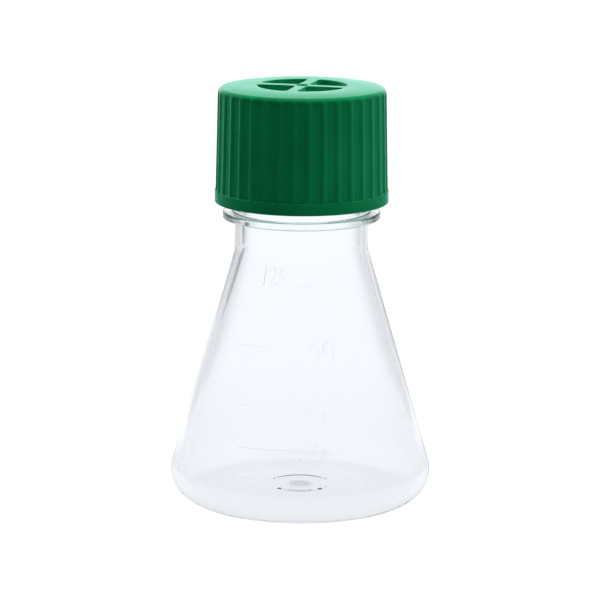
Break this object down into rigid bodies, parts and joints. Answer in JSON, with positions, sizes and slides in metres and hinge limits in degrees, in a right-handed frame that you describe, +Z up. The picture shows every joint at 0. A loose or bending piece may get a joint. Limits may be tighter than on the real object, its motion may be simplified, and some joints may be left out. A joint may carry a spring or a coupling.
{
  "type": "erlenmeyer flask",
  "caption": "Clear plastic conical shaker flask with a narrow neck, raised volume marks and a ribbed green screw cap with a filtered vent in its top.",
  "frame": {"origin": "centre of the standing ring under the base, on the table surface", "axes": "+Z up along the flask's axis, which is also the screw axis of the cap; the volume marks face -Y; +X is to the right when reading them"},
  "size_m": [0.067, 0.067, 0.1073],
  "materials": {
    "clear_plastic": "clear moulded copolyester, glossy inside and out",
    "green_plastic": "satin moulded polypropylene, finely textured on top",
    "silicone": "translucent white silicone, smooth",
    "ptfe_film": "smooth white porous film",
    "fibre_backing": "thin spun-bonded fibre sheet"
  },
  "bodies": {
    "flask": {"flask_body": "clear_plastic"},
    "seal": {"sealing_ring": "silicone"},
    "cap": {"cap_shell": "green_plastic", "vent_membrane": "ptfe_film", "membrane_backing": "fibre_backing"}
  },
  "joints": [
    {"name": "cap_rise", "type": "slide", "parent": "flask", "child": "seal", "axis": [0, 0, 1], "range_m": [0, 0.0276]},
    {"name": "cap_turn", "type": "hinge", "parent": "seal", "child": "cap", "pos_m": [0, 0, 0.0776], "axis": [0, 0, 1], "range_deg": [0, 2340]}
  ],
  "couplings": [
    {"joint": "cap_rise", "follows": "cap_turn", "m_per_rad": 0.00067376}
  ]
}
